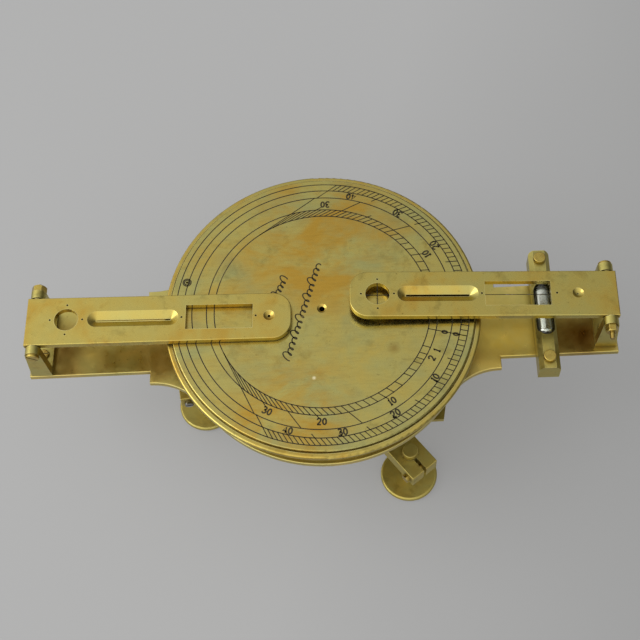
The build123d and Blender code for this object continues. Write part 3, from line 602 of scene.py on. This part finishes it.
# ---- the lid's engraving -------------------------------------------------------------------
def engrave_number(bm, text, radius, degrees, height=DIGIT_H):
    """Digits with their tops to the centre, reading counter-clockwise."""
    angle = math.radians(degrees)
    middle = on_lid(radius, angle)
    turn = ZERO_ANGLE + angle
    right = Vector((-math.sin(turn), math.cos(turn)))
    up = Vector((-math.cos(turn), -math.sin(turn)))
    start = -sum(DIGITS[d][1] for d in text) * height / 2
    for digit in text:
        strokes, advance = DIGITS[digit]
        for line in strokes:
            points = [middle + right * (start + p.x * height) + up * ((p.y - 0.5) * height) for p in line]
            cut_line(bm, points, DIGIT_W)
        start += advance * height


def from_peg(radius, peg_angle):
    """Where a line from the peg, at peg_angle to the zero line, crosses a circle."""
    half = PEG_R * math.cos(peg_angle)
    reach = half + math.sqrt(max(half * half - PEG_R ** 2 + radius ** 2, 0.0))
    return math.atan2(reach * math.sin(peg_angle), reach * math.cos(peg_angle) - PEG_R)


def peg_angle_at(radius, angle):
    """Angle at the peg of the point on a circle."""
    return math.atan2(radius * math.sin(angle), PEG_R + radius * math.cos(angle))


def peg_tick(bm, peg_angle, low, high):
    """Cut between two circles along a line through the peg."""
    cut_line(bm, [on_lid(radius, from_peg(radius, peg_angle)) for radius in (low, high)], TICK_W)


def engrave(name, bm):
    """Finish a filled cut, which turns with the lid."""
    piece(name, bm, wax_finish, "lid")


def circle_cuts():
    bm = bmesh.new()
    for radius in CIRCLES:
        points = [on_lid(radius, 2 * math.pi * i / CIRCLE_STEPS) for i in range(CIRCLE_STEPS)]
        cut_line(bm, points, CIRCLE_W, closed=True)
    engrave("scale_circles", bm)


def outer_scale():
    """Divisions of the outer band, both ways from zero, and their numbers."""
    ticks = bmesh.new()
    numbers = bmesh.new()
    for sign in (-1, 1):
        for n in range(OUTER_COUNT + 1):
            if n == 0 and sign < 0:
                continue
            degrees = OUTER_STEP * n - OUTER_CLOSING * n ** 3
            low = OUTER_LOW
            if n == OUTER_COUNT:
                low = MIDDLE
            elif n % LONG_EVERY == 0:
                low = OUTER_LOW - OUTER_LONG
            peg_tick(ticks, peg_angle_at(OUTER_HIGH, math.radians(degrees) * sign), low, OUTER_HIGH)
        for text, degrees in OUTER_NUMBERS:
            engrave_number(numbers, text, OUTER_NUMBER_R, degrees * sign)
    engrave("outer_ticks", ticks)
    engrave("outer_numbers", numbers)


def inner_scale():
    """Divisions of the inner band, both ways from zero, and their numbers."""
    ticks = bmesh.new()
    numbers = bmesh.new()
    for sign in (-1, 1):
        for n in INNER_STEPS:
            high = INNER_HIGH
            if n % NUMBER_EVERY == 0:
                high = MIDDLE
            elif n % LONG_EVERY == 0:
                high = INNER_HIGH + INNER_LONG
            peg_tick(ticks, math.acos(1 - COSINE_STEP * n) * sign, INNER_LOW, high)
        for text, degrees in INNER_PAIRS:
            engrave_number(numbers, text, INNER_PAIR_R, degrees * sign)
    for text, radius, degrees in INNER_SINGLES:
        engrave_number(numbers, text, radius, degrees)
    for radius in ZERO_RADII:
        engrave_number(numbers, "0", radius, 0.0, ZERO_H)
    cut_line(ticks, [on_lid(INNER_LOW, 0), on_lid(OUTER_HIGH, 0)], TICK_W)
    engrave("inner_ticks", ticks)
    engrave("inner_numbers", numbers)


def peg_mark():
    """Two rings round the peg hole."""
    bm = bmesh.new()
    centre = on_lid(PEG_R, math.pi)
    for radius in PEG_MARKS:
        points = [centre + p for p in oval(0, 0, radius, radius, 20)[:-1]]
        cut_line(bm, points, PEG_MARK_W, closed=True)
    engrave("peg_mark", bm)


def loop_run(bm, start, end, count):
    """A run of slanting loops of uneven height, which spells nothing."""
    start = Vector(start)
    along = Vector(end) - start
    step = along.length / count
    along.normalize()
    side = Vector((-along.y, along.x))
    line = []
    for i in range(count * LOOP_STEPS + 1):
        turn = 2 * math.pi * i / LOOP_STEPS
        tall = LOOP_TALL * LOOP_HEIGHTS[(i // LOOP_STEPS) % len(LOOP_HEIGHTS)]
        rise = tall * (1 - math.cos(turn)) / 2
        forward = step * (i / LOOP_STEPS - LOOP_CURL * math.sin(turn)) + LOOP_SLANT * rise
        line.append(start + along * forward + side * rise)
    cut_line(bm, line, LOOP_W)


def ornament():
    """Loops in place of the lid's signature."""
    bm = bmesh.new()
    for start, end, count in LOOP_RUNS:
        loop_run(bm, start, end, count)
    engrave("loop_ornament", bm)


# ---- inside the spirit level ---------------------------------------------------------------
def capsule(centre, radius, half):
    """Round-ended rod lying along the vial."""
    bm = bmesh.new()
    along = Vector((-math.sin(VIAL_SKEW), math.cos(VIAL_SKEW), 0.0))
    side = Vector((along.y, -along.x, 0.0))
    up = Vector((0.0, 0.0, 1.0))
    profile = []
    for i in range(CAPSULE_RINGS + 1):
        turn = math.pi / 2 * i / CAPSULE_RINGS
        profile.append((-half + radius * (1 - math.sin(turn)), radius * math.cos(turn)))
    profile = profile[::-1] + [(-s, r) for s, r in profile]
    turns = [2 * math.pi * k / CAPSULE_SEGMENTS for k in range(CAPSULE_SEGMENTS)]
    rings = []
    for place, size in profile:
        size = max(size, radius * CAPSULE_TIP)
        middle = centre + along * place
        rings.append([bm.verts.new(middle + side * size * math.cos(turn) + up * size * math.sin(turn))
                      for turn in turns])
    for here, there in zip(rings, rings[1:]):
        for k in range(CAPSULE_SEGMENTS):
            after = (k + 1) % CAPSULE_SEGMENTS
            bm.faces.new((here[k], here[after], there[after], there[k]))
    bm.faces.new(rings[0][::-1])
    bm.faces.new(rings[-1])
    for face in bm.faces:
        face.smooth = True
    return bm


def vial():
    """Spirit and bubble in the level's tube."""
    low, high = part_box("level_vial")
    centre = (low + high) / 2
    piece("vial_spirit", capsule(centre, SPIRIT_R, SPIRIT_HALF), spirit(), "compass")
    bubble = capsule(centre + BUBBLE_PLACE, BUBBLE_R, BUBBLE_HALF)
    piece("vial_bubble", bubble, glass("bubble_glass", CLEAR_GLASS), "compass")


# ---- stage ---------------------------------------------------------------------------------
def floor():
    """Pale plain floor with painted shade that darkens it to the right and to the front."""
    bm = bmesh.new()
    bmesh.ops.create_grid(bm, x_segments=2, y_segments=2, size=FLOOR_HALF)
    mesh = bpy.data.meshes.new("floor")
    bm.to_mesh(mesh)
    bm.free()
    g = Graph("floor_paper")
    split = g.new("ShaderNodeSeparateXYZ")
    g.link(g.place, split.inputs["Vector"])
    shade = g.math("ADD", split.outputs["X"], g.times(g.noise(3.0, 2.0), 0.08))
    shade = g.math("SUBTRACT", shade, g.times(split.outputs["Y"], FLOOR_FRONT))
    # Painted shade: the floor's colour darkens where the light falls off, to the right and to the front
    g.drive(g.mix(g.span(shade, *FLOOR_FALL), FLOOR_LIT, FLOOR_SHADED), "Base Color")
    g.fix("Roughness", 0.9)
    g.fix("Specular IOR Level", 0.1)
    g.fix("Emission Color", (1.0, 1.0, 1.0, 1.0))
    g.fix("Emission Strength", FLOOR_GLOW)
    mesh.materials.append(g.material)
    obj = bpy.data.objects.new("floor", mesh)
    scene.collection.objects.link(obj)


def key_light():
    """Broad soft light from the upper left."""
    light = bpy.data.lights.new("key", "AREA")
    light.shape = "DISK"
    light.size = KEY_SIZE
    light.energy = KEY_POWER
    obj = bpy.data.objects.new("key", light)
    obj.location = KEY_PLACE
    obj.rotation_euler = (KEY_TARGET - Vector(KEY_PLACE)).to_track_quat("-Z", "Y").to_euler()
    scene.collection.objects.link(obj)


def sky():
    """Soft studio surround: brightest in front, to the left and overhead."""
    world = bpy.data.worlds.new("studio")
    world.use_nodes = True
    scene.world = world
    tree = world.node_tree
    back = tree.nodes["Background"]
    coord = tree.nodes.new("ShaderNodeTexCoord")
    slope = tree.nodes.new("ShaderNodeVectorMath")
    slope.operation = "DOT_PRODUCT"
    slope.inputs[1].default_value = SKY_LEAN
    level = tree.nodes.new("ShaderNodeMath")
    level.operation = "ADD"
    level.inputs[1].default_value = SKY_LEVEL
    least = tree.nodes.new("ShaderNodeMath")
    least.operation = "MAXIMUM"
    least.inputs[1].default_value = SKY_LEAST
    tree.links.new(coord.outputs["Generated"], slope.inputs[0])
    tree.links.new(slope.outputs["Value"], level.inputs[0])
    tree.links.new(level.outputs["Value"], least.inputs[0])
    tree.links.new(least.outputs["Value"], back.inputs["Strength"])
    back.inputs["Color"].default_value = SKY_COLOUR


def camera():
    """Camera fitted to the lid's circles."""
    data = bpy.data.cameras.new("camera")
    data.sensor_width = CAMERA_SENSOR
    data.lens = CAMERA_LENS
    data.clip_start = CAMERA_NEAR
    obj = bpy.data.objects.new("camera", data)
    back = CAMERA_RIGHT.cross(CAMERA_UP)
    turn = Matrix((CAMERA_RIGHT, CAMERA_UP, back)).transposed().to_4x4()
    obj.matrix_world = Matrix.Translation(CAMERA_PLACE) @ turn
    scene.collection.objects.link(obj)
    scene.camera = obj


paint_brass()
paint_others()
wax_finish = wax()
circle_cuts()
outer_scale()
inner_scale()
peg_mark()
ornament()
vial()

floor()
key_light()
sky()
camera()
scene.view_settings.view_transform = "Standard"
scene.view_settings.look = "None"
